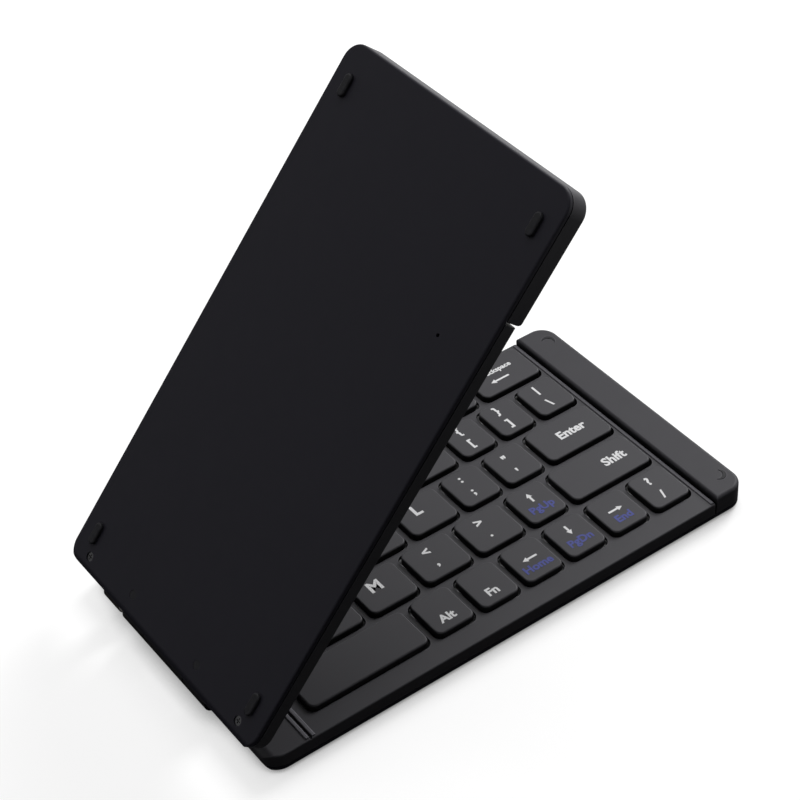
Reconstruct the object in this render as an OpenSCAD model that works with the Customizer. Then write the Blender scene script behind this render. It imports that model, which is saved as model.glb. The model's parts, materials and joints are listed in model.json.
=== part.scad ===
// A two-leaf folding keyboard. The right half lies on the table with its keys up, and the
// left half is folded up and over it about a hinge between them.
// Every piece of a half is drawn in that half's own frame: X runs from the hinge axis out to
// the free end, Y is the depth from the user's side (-) to the far side (+), and Z rises from
// the outer face towards the keys. on_base() and on_lid() then put the half in its place.

/* [Half] */
// Length of one half, from the hinge axis to its free end
half_l = 148; // [142:0.5:156]
// Depth of the keyboard, from the user's side to the far side
depth = 83.2; // [83.2:0.2:90]
// Height of the hinge axis over the outer face, half the folded thickness
axis_z = 7; // [6.9:0.1:8]
// Height of the deck that the keys stand in
deck_z = 5.15; // [5.05:0.05:5.3]
// Distance that the raised ends stay below the hinge axis
end_gap = 0.15; // [0.1:0.05:0.3]
// Radius of the case's corners in plan
corner_r = 5; // [4:0.5:8]
// Thickness of the outer cover
cover_t = 1.2; // [1:0.1:1.3]
// Thickness of the case's side walls
wall = 1.4; // [1.2:0.1:1.6]
// Thickness of the deck
deck_t = 1; // [0.8:0.05:1.1]
// Height of the dark gap between the outer cover and the walls
reveal = 0.3; // [0.2:0.1:0.4]
// Radius of the outer cover's edge
cover_edge_r = 0.5; // [0.3:0.1:0.9]
// Radius of the deck's outer edge
deck_edge_r = 0.4; // [0.2:0.1:0.5]
// Radius of the rounded end of a half beside the hinge
nose_r = 2.4; // [1.5:0.1:2.4]
// Gap between the end of a half and the plane of the hinge axis
nose_gap = 0.4; // [0.3:0.1:0.6]

/* [Fold] */
// Angle between the two halves, as the object stands
fold_angle = 49; // [30:1:150]

/* [Raised ends] */
// Length of the raised end of the right half
base_end_l = 10.1; // [9:0.1:11]
// Length of the raised battery end of the left half
lid_end_l = 31.5; // [31:0.5:33]
// Width of the groove between a raised end and the deck
groove_w = 0.6; // [0.4:0.1:0.8]
// Radius of the raised ends' upper edges
end_edge_r = 1; // [0.6:0.1:1.2]
// Radius of the right half's end where it steps down to the deck
base_step_r = 0.8; // [0.4:0.1:1.2]
// Radius of the left half's battery end where it steps down to the deck
lid_step_r = 2; // [0.4:0.1:2.4]
// Width of the ribs along the grooves
rib_w = 1.1; // [0.8:0.1:1.2]
// Height of the ribs along the grooves
rib_h = 0.3; // [0.2:0.1:0.4]
// Distance from the hinge axis to the rib beside the hinge
hinge_rib_x = 12.6; // [12:0.1:13]

/* [Keys] */
// Width of a letter key
letter_w = 14.25; // [13.8:0.05:14.4]
// Width of a small key
small_w = 11.5; // [11:0.1:11.8]
// Width of a number key
number_w = 11.8; // [11:0.1:12]
// Width of the slim keys at the end of the number and top rows
slim_w = 10.6; // [10:0.1:11]
// Width of the space keys
space_w = 34.8; // [34:0.1:35.4]
// Width of the first key of the right half's bottom row, which sets its stagger
first_bottom_w = 9.8; // [9:0.05:11]
// Width of the first key of the right half's home row
first_home_w = 17.1; // [16:0.05:18]
// Width of the first key of the right half's top row
first_top_w = 11.65; // [11:0.05:13]
// Width of the first key of the left half's home row
first_home_left_w = 12; // [11:0.05:13]
// Width of the first key of the number rows
first_number_w = 14; // [13:0.05:15]
// Width of the slash key, at the end of the right half's space row
slash_w = 11.6; // [11:0.05:13]
// Width of the right shift key
shift_w = 25.6; // [24:0.05:27]
// Width of the enter key
enter_w = 21.05; // [20:0.05:23]
// Width of the backslash key
backslash_w = 11.65; // [11:0.05:13]
// Width of the backspace key
backspace_w = 19.1; // [18:0.05:21]
// Width of the control key
control_w = 18; // [17:0.05:19]
// Width of the left shift key
shift_left_w = 30.3; // [29:0.05:32]
// Width of the capitals lock key
caps_w = 15.9; // [15:0.05:17]
// Width of the tab key
tab_w = 13.65; // [13:0.05:15]
// Width of the escape key
escape_w = 10.7; // [10:0.05:12]
// Depth of a key
key_d = 13; // [12:0.1:13.2]
// Gap between neighbouring keys
key_gap = 2.4; // [2.2:0.1:2.6]
// Distance from the hinge axis to the first key
first_key_x = 16.8; // [16.5:0.1:17.2]
// Space from the last key of a row to the end of the deck
last_key_gap = 2.2; // [2:0.1:2.6]
// Space from the front edge of the case to the front row
front_margin = 6.6; // [5:0.1:6.8]
// Height of the key tops over the deck
key_rise = 1.4; // [1.2:0.05:1.5]
// Height of a keycap
key_h = 2; // [1.8:0.1:2]
// Radius of a keycap's corners in plan
key_corner_r = 2; // [1.5:0.1:2.5]
// Radius of a keycap's upper edge
key_edge_r = 0.5; // [0.3:0.1:0.6]
// Wall and roof of a keycap
key_wall = 0.8; // [0.7:0.1:0.9]
// Gap between a keycap and its window
window_gap = 0.6; // [0.5:0.05:0.65]
// Travel of a key
key_travel = 1.3; // [1:0.1:1.3]
// Radius of a keycap's stem
stem_r = 1.5; // [1.2:0.1:1.8]

/* [Switch layers] */
// Height of the standoffs under the steel plate
standoff_h = 0.4; // [0.3:0.1:0.5]
// Radius of the standoffs
standoff_r = 1.8; // [1.5:0.1:2.2]
// Distance of the outer standoffs from the sides
standoff_side = 12; // [10:0.5:14]
// Thickness of the steel plate
plate_t = 0.4; // [0.3:0.05:0.5]
// Thickness of the contact sheets
membrane_t = 0.25; // [0.15:0.05:0.3]
// Thickness of the rubber sheet that carries the domes
dome_sheet_t = 0.25; // [0.2:0.05:0.3]
// Height of a dome over its sheet
dome_h = 1.8; // [1.6:0.1:1.9]
// Radius of a dome at its foot
dome_r = 3.2; // [2.8:0.1:3.6]
// Wall of a dome
dome_wall = 0.4; // [0.3:0.05:0.5]

/* [Hinge] */
// Radius of the hinge barrel
barrel_r = 2.9; // [2.6:0.1:3.2]
// Length of the hinge barrel
barrel_l = 38; // [36:1:42]
// Length of the left half's knuckle in the middle of the barrel
knuckle_l = 18; // [14:1:20]
// Radius of the hinge pin
pin_r = 1.2; // [1:0.1:1.4]
// Radial running clearance of the pin in the left half's knuckle
pin_clearance = 0.03; // [0.02:0.01:0.05]
// Thickness of the hinge leaves
leaf_t = 0.9; // [0.8:0.1:1]
// Length of a hinge leaf from the axis
leaf_l = 11; // [10:0.5:12]
// Clearance round the barrel and between knuckles
hinge_clearance = 0.3; // [0.2:0.05:0.4]
// Width of the flexible cable that crosses the hinge
flex_w = 7; // [6:0.5:8]
// Thickness of the flexible cable
flex_t = 0.2; // [0.15:0.05:0.3]

/* [Fasteners, feet and magnets] */
// Distance from the hinge axis to the hinge screws
hinge_screw_x = 6.4; // [6:0.1:7]
// Distance of the hinge screws from the middle
hinge_screw_y = 14.6; // [13:0.1:16]
// Distance from the hinge axis to the corner screws
corner_screw_x = 4.6; // [4.4:0.1:5.2]
// Distance of the corner screws from the middle
corner_screw_y = 34; // [33:0.1:35]
// Radius of the screws' thread
screw_r = 0.7; // [0.6:0.05:0.8]
// Radius of the screws' heads
head_r = 1.2; // [1.1:0.05:1.3]
// Height of the screws' heads
head_h = 0.5; // [0.4:0.05:0.5]
// Length of a foot
foot_l = 6; // [5:0.5:8]
// Width of a foot
foot_w = 2.4; // [2:0.1:3]
// Height of a foot below the outer face
foot_h = 1; // [0.8:0.1:1.2]
// Radius of a foot's lower edge
foot_edge_r = 0.5; // [0.3:0.1:0.5]
// Distance of the feet's centres from the ends of a half
foot_end = 10.4; // [9.5:0.1:12]
// Distance of the feet's centres from the sides
foot_side = 5.9; // [5.5:0.1:8]
// Length of a magnet, along the depth
magnet_l = 12; // [8:1:14]
// Width of a magnet
magnet_w = 5; // [4:0.5:6]
// Thickness of a magnet
magnet_t = 1.6; // [1.2:0.1:1.8]
// Distance of the magnets from the middle
magnet_y = 26; // [22:1:28]
// Outer radius of the crescent-shaped closing bumpers
bumper_r = 1.8; // [1.5:0.1:2.2]
// Width of a bumper in its middle
bumper_w = 0.9; // [0.7:0.1:1.1]
// Distance from the free end to the centre of a bumper's outer arc
bumper_end = 3.8; // [3.6:0.1:4.6]
// Distance from the side to the centre of a bumper's outer arc
bumper_side = 6.4; // [5.6:0.1:7]

/* [Electronics in the left half] */
// Length of the battery, along the depth
battery_l = 48; // [40:1:50]
// Width of the battery
battery_w = 20; // [18:0.5:20.5]
// Thickness of the battery
battery_t = 3.6; // [3:0.1:3.8]
// Thickness of the circuit board
board_t = 0.8; // [0.6:0.1:1]
// Width of the charging socket's shell
socket_w = 7.8; // [7.4:0.1:8.2]
// Depth of the charging socket's shell
socket_d = 5.4; // [5:0.1:6]
// Height of the charging socket's shell
socket_h = 2.6; // [2.4:0.1:2.8]
// Travel of the power switch
switch_travel = 2; // [1.5:0.1:2.5]
// Radius of the pairing button
button_r = 2; // [1.6:0.1:2.4]
// Travel of the pairing button
button_travel = 0.4; // [0.3:0.05:0.5]
// Radius of the status lens
lens_r = 0.8; // [0.6:0.1:1]
// Radius of the reset pinhole
pinhole_r = 0.5; // [0.4:0.05:0.7]

/* [Hidden] */
$fn = 48;

// Rows of keys
SPACE_ROW = 0;
BOTTOM_ROW = 1;
HOME_ROW = 2;
TOP_ROW = 3;
NUMBER_ROW = 4;
// Widths of the keys of each row of the right half, from the hinge out, before row_fit()
// stretches them to fill the deck. The first key of a row sets the row's stagger.
base_rows = [
    [space_w, small_w, small_w, small_w, small_w, small_w, slash_w],
    [first_bottom_w, letter_w, letter_w, letter_w, letter_w, small_w, shift_w],
    [first_home_w, letter_w, letter_w, letter_w, small_w, small_w, enter_w],
    [first_top_w, letter_w, letter_w, letter_w, letter_w, slim_w, slim_w, backslash_w],
    [first_number_w, number_w, number_w, number_w, number_w, slim_w, slim_w, backspace_w]
];
// The same for the left half, again from the hinge out
lid_rows = [
    [space_w, small_w, small_w, small_w, control_w],
    [letter_w, letter_w, letter_w, letter_w, shift_left_w],
    [first_home_left_w, letter_w, letter_w, letter_w, letter_w, caps_w],
    [letter_w, letter_w, letter_w, letter_w, letter_w, tab_w],
    [first_number_w, number_w, number_w, number_w, number_w, slim_w, escape_w]
];

// Heights in a half
frame_z = cover_t + reveal;
end_z = axis_z - end_gap;
key_top_z = deck_z + key_rise;
key_z = key_top_z - key_h;
plate_z = cover_t + standoff_h;
membrane_z = plate_z + plate_t;
dome_z = membrane_z + membrane_t;
ledge_z = dome_z + dome_sheet_t;
dome_top_z = ledge_z + dome_h;
dome_tip_r = stem_r + 0.2;
ledge_t = 0.5;
ledge_w = 1;
lip_t = 0.8;
lip_gap = 0.1;
leaf_gap = 0.05;
lip_top_z = membrane_z - 0.05;
sheet_gap = 0.2;
rib_inset = 0.6;
rib_edge_r = rib_h;

// Screws, plugs, feet, bumpers and magnets
hinge_head_z = 1;
corner_head_z = 0.3;
corner_roof = 0.8;
tip_gap = 0.2;
thread_gap = 0.03;
head_gap = 0.05;
boss_wall = 0.9;
cross_w = 0.3;
cross_l = 1.2 * head_r;
plug_sink = 0.05;
pin_sink = 0.2;
foot_seat = 0.4;
foot_gap = 0.05;
bumper_seat = 0.5;
bumper_out = 0.1;
bumper_gap = 0.05;
magnet_roof = 0.9;
magnet_gap = 0.4;
pocket_wall = 0.75;
pocket_gap = 0.05;

// Places along a half
base_end_x = half_l - base_end_l;
lid_end_x = half_l - lid_end_l;
base_deck_x = base_end_x - groove_w;
lid_deck_x = lid_end_x - groove_w;
leaf_z = deck_z - deck_t - leaf_gap - leaf_t;
plate_x = leaf_l + 2.4;
standoff_inset = 9;
cut = 1;
// Keeps a shape with half-round ends from closing to nothing between them
hair = 0.001;

// Places in the battery end of the left half
block_wall_x = lid_end_x + wall;
battery_x = block_wall_x + 0.6;
battery_y = -depth / 2 + wall + 4;
battery_z = cover_t + 0.2;
board_x = block_wall_x + 0.6;
board_w = 19;
board_y = battery_y + battery_l + 1;
board_back_y = depth / 2 - wall - lip_t - lip_gap - 0.3;
board_z = cover_t + 0.8;
board_post_r = 0.9;
board_post_inset = 2;
chip_inset = 3;
chip_w = 5;
chip_t = 0.9;
led_l = 1.6;
led_w = 1;
led_h = 0.7;
battery_corner_r = 1.4;
battery_edge_r = 0.5;
socket_to_board = 5.5;
socket_x = board_x + socket_to_board;
socket_back_y = depth / 2 - 0.3;
socket_r = 0.8;
socket_wall = 0.3;
socket_back = 0.6;
socket_gap = 0.1;
port_depth = 4;
switch_to_board = 14.5;
switch_x = board_x + switch_to_board;
switch_slot_l = 5;
switch_slot_h = 1.6;
switch_body_l = 6.8;
switch_body_w = 2.6;
switch_body_h = 1.9;
switch_body_wall = 1;
switch_body_floor = 0.5;
knob_w = 2.4;
knob_h = 1.2;
knob_out = 0.4;
knob_in = 1.5;
switch_z = board_z + board_t + 1.4;
button_x = board_x + board_w / 2;
button_to_board = 8;
button_y = board_y + button_to_board;
button_gap = 0.15;
button_h = 1.4;
button_sink = 0.1;
button_bottom_z = end_z - button_sink - button_h;
contact_gap = button_travel + 0.05;
contact_r = button_r - 0.2;
lens_y = board_y + 2.6;
lens_gap = 0.05;
lens_flange = 0.5;
lens_flange_t = 0.4;
button_rim_r = button_r + 0.7;
button_rim_t = 0.5;
magnet_x = half_l - wall - magnet_w / 2 - magnet_gap;
bumper_x = half_l - bumper_end;
bumper_y = depth / 2 - bumper_side;
flex_to_barrel = 2.5;
flex_y = barrel_l / 2 + flex_to_barrel;
flex_x = plate_x + 2.2;
flex_side_gap = 0.4;
flex_r = barrel_r - 0.2;
flex_roof = 0.55;
flex_bend_x = 6;
pinhole_to_block = 11;
pinhole_to_side = 14;
pinhole_x = lid_deck_x - pinhole_to_block;
pinhole_y = -depth / 2 + pinhole_to_side;

// ---- Placing a half ----

module on_base() {
    translate([-half_l / 2, 0, 0]) children();
}

module on_lid() {
    translate([-half_l / 2, 0, axis_z])
        rotate([0, 180 - fold_angle, 0])
            translate([0, 0, -axis_z])
                mirror([1, 0, 0]) children();
}

// ---- Shapes that repeat ----

// Rounded rectangle, from the corner at the origin
module rounded_rectangle(length, width, r) {
    translate([r, 0]) square([length - 2 * r, width]);
    translate([0, r]) square([length, width - 2 * r]);
    for (x = [r, length - r], y = [r, width - r]) translate([x, y]) circle(r);
}

// What is left of a square corner outside an arc
module corner_cut(r) {
    difference() {
        translate([-cut, -cut]) square(r + cut);
        translate([r, r]) circle(r);
    }
}

// Rectangle whose lower and upper corners have their own radii
module side_profile(width, height, lower_r, upper_r) {
    difference() {
        square([width, height]);
        for (side = [0, 1]) {
            if (lower_r > 0)
                translate([side * width, 0]) mirror([side, 0]) corner_cut(lower_r);
            if (upper_r > 0)
                translate([side * width, height]) mirror([side, 0]) mirror([0, 1])
                    corner_cut(upper_r);
        }
    }
}

// Slab with round corners in plan and rounded lower and upper edges
module soft_slab(length, width, height, r, lower_r, upper_r) {
    translate([0, width - r, 0])
        rotate([90, 0, 0])
            linear_extrude(width - 2 * r) side_profile(length, height, lower_r, upper_r);
    translate([r, 0, 0])
        rotate([90, 0, 90])
            linear_extrude(length - 2 * r) side_profile(width, height, lower_r, upper_r);
    for (x = [r, length - r], y = [r, width - r])
        translate([x, y, 0])
            rotate_extrude()
                intersection() {
                    translate([-r, 0]) side_profile(2 * r, height, lower_r, upper_r);
                    square([r, height]);
                }
}

// Plan of a half, drawn in by an inset
module half_plan(inset = 0, x0 = nose_gap) {
    translate([x0 + inset, inset - depth / 2])
        rounded_rectangle(half_l - x0 - 2 * inset, depth - 2 * inset, corner_r - inset);
}

// Flat sheet with the half's plan from one X to another
module half_sheet(inset, x_from, x_to, thickness) {
    linear_extrude(thickness)
        intersection() {
            half_plan(inset);
            translate([x_from, -depth / 2]) square([x_to - x_from, depth]);
        }
}

// Space that the rounded nose beside the hinge leaves to a half
module nose_limits() {
    translate([0, depth / 2 + cut, 0])
        rotate([90, 0, 0])
            linear_extrude(depth + 2 * cut)
                translate([nose_gap, 0])
                    difference() {
                        square([half_l + cut, axis_z]);
                        corner_cut(nose_r);
                        translate([0, deck_z]) mirror([0, 1]) corner_cut(nose_r);
                        translate([-cut, deck_z]) square([corner_r, axis_z]);
                    }
}

// Room for the barrel and the knuckles' feet
module barrel_room() {
    translate([0, 0, axis_z])
        rotate([90, 0, 0])
            linear_extrude(barrel_l + 2 * hinge_clearance, center = true)
                knuckle_plan(barrel_r + hinge_clearance);
}

// Knuckle seen along the axis: round, with a foot down to the leaf
module knuckle_plan(r) {
    circle(r);
    translate([0, leaf_z - axis_z]) square([r, axis_z - leaf_z]);
}

// Slot for the flexible cable through the nose and the ledge
module flex_slot() {
    translate([-cut, flex_y - flex_side_gap, ledge_z])
        cube([flex_x + cut, flex_w + 2 * flex_side_gap, deck_z - flex_roof - ledge_z]);
}

// Places of the two feet, screws or magnets on either side of the middle
module both_sides(y) {
    for (side = [-1, 1]) translate([0, side * y, 0]) children();
}

module at_feet() {
    for (x = [foot_end, half_l - foot_end], y = [-1, 1])
        translate([x, y * (depth / 2 - foot_side), 0]) children();
}

// ---- Keys ----

function sum_to(row, n) = n <= 0 ? 0 : row[n - 1] + sum_to(row, n - 1);
function row_fit(row, deck_end) =
    (deck_end - last_key_gap - first_key_x - (len(row) - 1) * key_gap)
    / sum_to(row, len(row));
function key_x(row, i, deck_end) =
    first_key_x + sum_to(row, i) * row_fit(row, deck_end) + i * key_gap;
function key_w(row, i, deck_end) = row[i] * row_fit(row, deck_end);
function key_y(r) = -depth / 2 + front_margin + r * (key_d + key_gap);

// Hollow keycap with its stem
module keycap(width) {
    inner_r = key_corner_r - key_wall;
    difference() {
        soft_slab(width, key_d, key_h, key_corner_r, 0, key_edge_r);
        translate([key_wall, key_wall, -cut])
            linear_extrude(key_h - key_wall + cut)
                rounded_rectangle(width - 2 * key_wall, key_d - 2 * key_wall, inner_r);
    }
    translate([width / 2, key_d / 2, dome_top_z - key_z])
        cylinder(r = stem_r, h = key_top_z - dome_top_z - key_wall / 2);
}

module key(rows, r, i, deck_end) {
    translate([key_x(rows[r], i, deck_end), key_y(r), key_z])
        keycap(key_w(rows[r], i, deck_end));
}

module base_key(r, i) {
    color([0.16, 0.16, 0.17]) on_base() key(base_rows, r, i, base_deck_x);
}

module lid_row_keys(r) {
    color([0.16, 0.16, 0.17])
        on_lid()
            for (i = [0:len(lid_rows[r]) - 1]) key(lid_rows, r, i, lid_deck_x);
}

// Windows of all the keys in the deck
module key_windows(rows, deck_end) {
    for (r = [0:len(rows) - 1], i = [0:len(rows[r]) - 1])
        translate([key_x(rows[r], i, deck_end) - window_gap, key_y(r) - window_gap])
            rounded_rectangle(key_w(rows[r], i, deck_end) + 2 * window_gap,
                key_d + 2 * window_gap, key_corner_r + window_gap / 2);
}

// ---- Case pieces, the same for both halves ----

// Outer cover: a plate with a rounded edge, a lip inside the walls and its standoffs
module outer_cover(deck_end) {
    difference() {
        union() {
            intersection() {
                translate([nose_gap, -depth / 2, 0])
                    soft_slab(half_l - nose_gap, depth, cover_t, corner_r, cover_edge_r, 0);
                nose_limits();
            }
            cover_lip(deck_end);
            cover_standoffs(deck_end);
            both_sides(hinge_screw_y)
                translate([hinge_screw_x, 0, cover_t / 2])
                    cylinder(r = head_r + boss_wall, h = leaf_z - cover_t / 2);
        }
        both_sides(hinge_screw_y)
            translate([hinge_screw_x, 0, 0]) screw_hole(hinge_head_z);
        both_sides(corner_screw_y)
            translate([corner_screw_x, 0, 0]) screw_hole(corner_head_z);
        at_feet() foot_hole();
    }
}

// Lip inside the case walls, open where the walls across the half stand on the cover
module cover_lip(deck_end) {
    end_wall_x = deck_end + groove_w + wall;
    translate([0, 0, cover_t - lip_t / 2])
        linear_extrude(lip_top_z - cover_t + lip_t / 2)
            difference() {
                half_plan(wall + lip_gap);
                half_plan(wall + lip_gap + lip_t);
                translate([-cut, -depth]) square([plate_x + cut, 2 * depth]);
                translate([deck_end - wall - lip_gap, -depth])
                    square([end_wall_x + 2 * lip_gap + wall - deck_end, 2 * depth]);
            }
}

// Hole and counterbore for a screw that goes in from the outer face
module screw_hole(depth_of_head) {
    translate([0, 0, -cut]) cylinder(r = screw_r + head_gap, h = axis_z + cut);
    translate([0, 0, -cut])
        cylinder(r = head_r + head_gap, h = depth_of_head + head_h + cut);
}

// Small round standoffs that carry the steel plate
module cover_standoffs(deck_end) {
    columns = 4;
    x_from = plate_x + standoff_inset;
    x_step = (deck_end - standoff_inset - x_from) / (columns - 1);
    for (c = [0:columns - 1], y = [-1, 0, 1])
        translate([x_from + c * x_step, y * (depth / 2 - standoff_side), cover_t / 2])
            cylinder(r = standoff_r, h = plate_z - cover_t / 2);
}

// Deck with its windows, walls, ribs and screw bosses
module key_frame(rows, deck_end) {
    difference() {
        union() {
            frame_shell(deck_end);
            deck_rib(deck_end - rib_w);
            deck_rib(hinge_rib_x);
            deck_rib(hinge_rib_x - rib_w - groove_w);
        }
        translate([0, 0, key_z - key_travel])
            linear_extrude(axis_z) key_windows(rows, deck_end);
        translate([hinge_rib_x - groove_w, -depth, deck_z - rib_h])
            cube([groove_w, 2 * depth, axis_z]);
        barrel_room();
        both_sides(corner_screw_y)
            translate([corner_screw_x, 0, 0])
                cylinder(r = screw_r + thread_gap, h = deck_z - corner_roof);
        flex_slot();
    }
}

// Rib across the deck along a groove
module deck_rib(x) {
    intersection() {
        translate([x, 0, deck_z - rib_h])
            rotate([90, 0, 0])
                linear_extrude(depth, center = true)
                    side_profile(rib_w, 2 * rib_h, 0, rib_edge_r);
        linear_extrude(axis_z) half_plan(rib_inset);
    }
}

// Walls and deck before the windows are cut
module frame_shell(deck_end) {
    inside_z = frame_z - cut;
    difference() {
        intersection() {
            translate([nose_gap, -depth / 2, frame_z])
                soft_slab(half_l - nose_gap, depth, deck_z - frame_z, corner_r, 0,
                    deck_edge_r);
            nose_limits();
            translate([0, -depth, 0]) cube([deck_end, 2 * depth, axis_z]);
        }
        difference() {
            translate([0, 0, inside_z])
                half_sheet(wall, nose_gap + wall, deck_end - wall,
                    deck_z - deck_t - inside_z);
            // ledge that clamps the sheets
            translate([0, 0, ledge_z])
                difference() {
                    half_sheet(0, 0, half_l, ledge_t);
                    translate([0, 0, -cut])
                        half_sheet(wall + ledge_w, plate_x + ledge_w,
                            deck_end - wall - ledge_w, ledge_t + 2 * cut);
                    translate([-cut, -depth, -cut])
                        cube([plate_x - ledge_w + cut, 2 * depth, ledge_t + 2 * cut]);
                }
            // bosses of the corner screws
            both_sides(corner_screw_y)
                translate([corner_screw_x, 0, cover_t])
                    cylinder(r = screw_r + boss_wall, h = deck_z - cover_t);
        }
    }
}

// Raised end, drawn whole before it is hollowed
module raised_end(x_from, step_r) {
    intersection() {
        translate([nose_gap, -depth / 2, frame_z])
            soft_slab(half_l - nose_gap, depth, end_z - frame_z, corner_r, 0, end_edge_r);
        translate([x_from, depth, 0])
            rotate([90, 0, 0])
                linear_extrude(2 * depth)
                    difference() {
                        square([half_l, end_z]);
                        translate([0, end_z]) mirror([0, 1]) corner_cut(step_r);
                    }
    }
}

// Hollow raised end: a cover over the magnets, with its own walls
module end_shell(x_from, step_r) {
    difference() {
        raised_end(x_from, step_r);
        translate([0, 0, frame_z - cut])
            half_sheet(wall, x_from + wall, half_l, end_z - magnet_roof - frame_z + cut);
    }
    // pockets that hold the magnets against the roof
    both_sides(magnet_y)
        translate([magnet_x, 0, end_z - magnet_roof - magnet_t])
            linear_extrude(magnet_t + magnet_roof / 2)
                difference() {
                    magnet_plan(pocket_gap + pocket_wall);
                    magnet_plan(pocket_gap);
                }
}

module magnet_plan(gap) {
    square([magnet_w + 2 * gap, magnet_l + 2 * gap], center = true);
}

module magnets() {
    color([0.72, 0.72, 0.74])
        both_sides(magnet_y)
            translate([magnet_x, 0, end_z - magnet_roof - magnet_t])
                linear_extrude(magnet_t) magnet_plan(0);
}

// ---- Switch layers ----

module support_plate(deck_end) {
    color([0.6, 0.61, 0.62])
        translate([0, 0, plate_z])
            half_sheet(wall + lip_gap + lip_t + sheet_gap, plate_x,
                deck_end - wall - 2 * sheet_gap, plate_t);
}

module membrane(deck_end) {
    color([0.75, 0.78, 0.8, 0.7])
        translate([0, 0, membrane_z])
            half_sheet(wall + sheet_gap, plate_x, deck_end - wall - sheet_gap,
                membrane_t);
}

module dome_sheet(rows, deck_end) {
    rise = dome_top_z - dome_z;
    color([0.85, 0.85, 0.86])
        translate([0, 0, dome_z])
            difference() {
                union() {
                    half_sheet(wall + sheet_gap, plate_x, deck_end - wall - sheet_gap,
                        dome_sheet_t);
                    at_key_centres(rows, deck_end)
                        cylinder(r1 = dome_r, r2 = dome_tip_r, h = rise);
                }
                at_key_centres(rows, deck_end)
                    translate([0, 0, -cut])
                        cylinder(r1 = dome_r - dome_wall, r2 = dome_tip_r - dome_wall,
                            h = rise - dome_wall + cut);
            }
}

module at_key_centres(rows, deck_end) {
    for (r = [0:len(rows) - 1], i = [0:len(rows[r]) - 1])
        translate([key_x(rows[r], i, deck_end) + key_w(rows[r], i, deck_end) / 2,
            key_y(r) + key_d / 2, 0])
            children();
}

// ---- Feet, screws and plugs ----

// Seat of a foot in the outer face, with round ends
module foot_hole() {
    length = foot_l + 2 * foot_gap;
    width = foot_w + 2 * foot_gap;
    translate([-length / 2, -width / 2, -cut])
        linear_extrude(cut + foot_seat) rounded_rectangle(length, width, width / 2 - hair);
}

module feet() {
    color([0.07, 0.07, 0.075])
        at_feet()
            translate([-foot_l / 2, -foot_w / 2, -foot_h])
                soft_slab(foot_l, foot_w, foot_h + foot_seat, foot_w / 2 - hair,
                    foot_edge_r, 0);
}

// Screw whose head is sunk below the outer face
module screw(depth_of_head, thread_end) {
    translate([0, 0, depth_of_head])
        difference() {
            union() {
                cylinder(r = head_r, h = head_h);
                cylinder(r = screw_r, h = thread_end - depth_of_head);
            }
            translate([0, 0, -cut])
                for (turn = [0, 90])
                    rotate(turn)
                        translate([-cross_l / 2, -cross_w / 2, 0])
                            cube([cross_l, cross_w, cut + head_h / 2]);
        }
}

module screws() {
    color([0.3, 0.3, 0.31]) {
        both_sides(hinge_screw_y)
            translate([hinge_screw_x, 0, 0]) screw(hinge_head_z, leaf_z + leaf_t);
        both_sides(corner_screw_y)
            translate([corner_screw_x, 0, 0])
                screw(corner_head_z, deck_z - corner_roof - tip_gap);
    }
}

// Plugs that cover the heads of the hinge screws
module screw_plugs() {
    color([0.07, 0.07, 0.075])
        both_sides(hinge_screw_y)
            translate([hinge_screw_x, 0, plug_sink])
                cylinder(r = head_r, h = hinge_head_z - 2 * plug_sink);
}

// ---- Hinge ----

// Barrel piece with its bore, from one Y to another
module knuckle(y_from, y_to, bore_r) {
    translate([0, y_to, axis_z])
        rotate([90, 0, 0])
            difference() {
                linear_extrude(y_to - y_from) knuckle_plan(barrel_r);
                translate([0, 0, -cut])
                    cylinder(r = bore_r, h = y_to - y_from + 2 * cut);
            }
}

// Strip of a leaf between the barrel and the plate, from one Y to another
module leaf_strip(y_from, y_to, bore_r) {
    difference() {
        translate([0, y_from, leaf_z]) cube([leaf_l, y_to - y_from, leaf_t]);
        translate([0, 0, axis_z])
            rotate([90, 0, 0]) cylinder(r = bore_r, h = 2 * barrel_l, center = true);
    }
}

module leaf_plate() {
    x_from = barrel_r + hinge_clearance;
    translate([x_from, -barrel_l / 2, leaf_z]) cube([leaf_l - x_from, barrel_l, leaf_t]);
}

module leaf_holes() {
    both_sides(hinge_screw_y)
        translate([hinge_screw_x, 0, leaf_z - cut])
            cylinder(r = screw_r + thread_gap, h = leaf_t + 2 * cut);
}

module hinge_pin_shape() {
    translate([0, 0, axis_z])
        rotate([90, 0, 0]) cylinder(r = pin_r, h = barrel_l - 2 * pin_sink, center = true);
}

// Side of the flexible cable in one half, seen along the hinge axis: level from the hinge,
// then down onto the dome sheet, which it is stuck to
function flex_side(rise) = [
    [flex_bend_x, rise - flex_r],
    [plate_x, rise + ledge_z - axis_z],
    [flex_x, rise + ledge_z - axis_z]
];
// A point of the right half's side of the cable, moved to the left half's side
function to_lid_side(p, turn) =
    [-p[0] * cos(turn) + p[1] * sin(turn), p[0] * sin(turn) + p[1] * cos(turn)];
function reversed(points) = [for (i = [len(points) - 1:-1:0]) points[i]];
// One face of the whole cable, from the right half round the hinge axis to the left half
function flex_path(rise, turn, steps = 12) = concat(
    reversed(flex_side(rise)),
    [for (i = [0:steps])
        (flex_r - rise) * [-sin(i * turn / steps), -cos(i * turn / steps)]],
    [for (p = flex_side(rise)) to_lid_side(p, turn)]
);

module flex_run() {
    turn = 180 - fold_angle;
    translate([0, flex_y + flex_w, axis_z])
        rotate([90, 0, 0])
            linear_extrude(flex_w)
                polygon(concat(flex_path(0, turn), reversed(flex_path(flex_t, turn))));
}

// ================= Right half =================

module base_bottom_cover() {
    color([0.13, 0.13, 0.14]) on_base() outer_cover(base_deck_x);
}

module base_key_frame() {
    color([0.2, 0.2, 0.21]) on_base() key_frame(base_rows, base_deck_x);
}

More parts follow.
